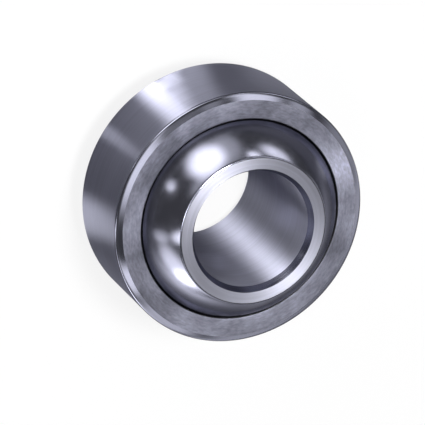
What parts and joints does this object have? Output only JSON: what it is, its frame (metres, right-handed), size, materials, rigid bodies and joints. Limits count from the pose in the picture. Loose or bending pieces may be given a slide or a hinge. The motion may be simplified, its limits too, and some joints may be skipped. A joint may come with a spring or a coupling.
{
  "type": "spherical plain bearing",
  "caption": "Spherical plain bearing: a polished steel ball with square ends and a plain bore swivels inside a one-piece steel outer ring with chamfered edges.",
  "frame": {"origin": "the ball's centre, on the bearing's axis, halfway along the bore", "axes": "+Z along the bearing's axis; the bearing stands on the ball's end face that points down"},
  "size_m": [0.026, 0.026, 0.017],
  "materials": {
    "ring_steel": "ground bearing steel, satin with fine lines round the axis",
    "ball_steel": "polished bearing steel, ground end faces, honed bore"
  },
  "bodies": {
    "outer_ring": {"outer_ring": "ring_steel"},
    "ball": {"ball": "ball_steel"}
  },
  "joints": [
    {"name": "ball_tilt", "type": "hinge", "parent": "outer_ring", "child": "ball", "pos_m": [0, 0, 0], "axis": [1, 0, 0], "range_deg": [-22, 22]}
  ]
}
